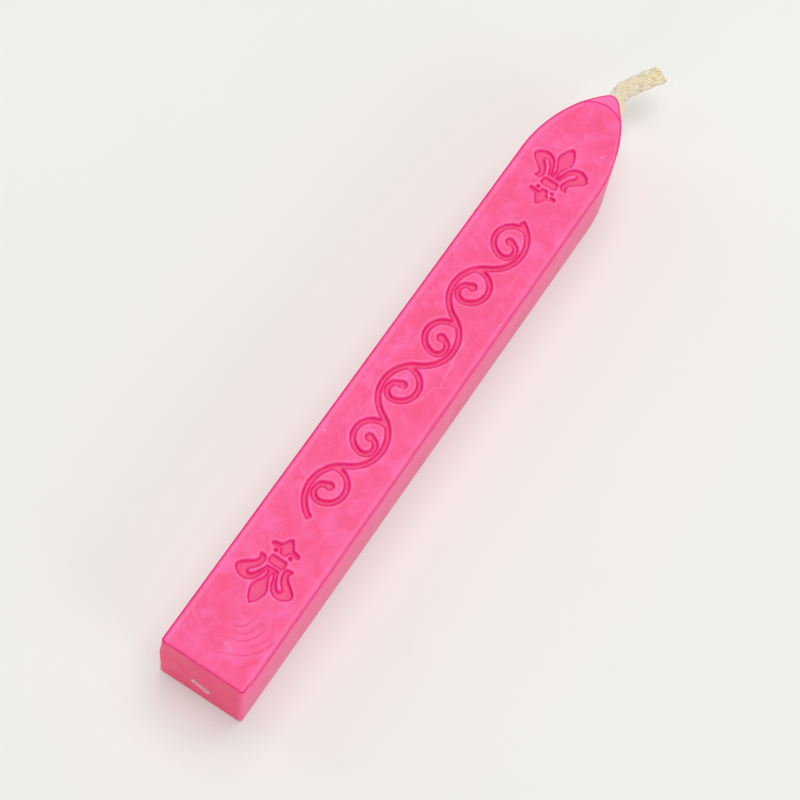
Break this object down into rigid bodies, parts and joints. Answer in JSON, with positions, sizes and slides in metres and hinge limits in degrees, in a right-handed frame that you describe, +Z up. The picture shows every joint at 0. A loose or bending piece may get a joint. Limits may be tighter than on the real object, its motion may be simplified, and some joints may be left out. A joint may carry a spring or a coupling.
{
  "type": "sealing wax stick",
  "caption": "Square bar of sealing wax with a pointed nose, a lily and scroll ornament sunk into its upper face, and a flat plaited cotton wick cast in along its length.",
  "frame": {"origin": "middle of the flat face that the bar rests on, half way between its square end and its nose", "axes": "+X along the bar towards the nose and the wick's free end, +Z up through the ornamented face, +Y to the left of someone looking along +X"},
  "size_m": [0.1007, 0.0114, 0.0112],
  "materials": {
    "wax": "satin pink sealing wax, slightly translucent and faintly marbled",
    "cotton": "cream cotton with a little wax soaked in"
  },
  "bodies": {
    "root": {"wax_bar": "wax", "wick_strand_a": "cotton", "wick_strand_b": "cotton", "wick_strand_c": "cotton"}
  },
  "joints": []
}
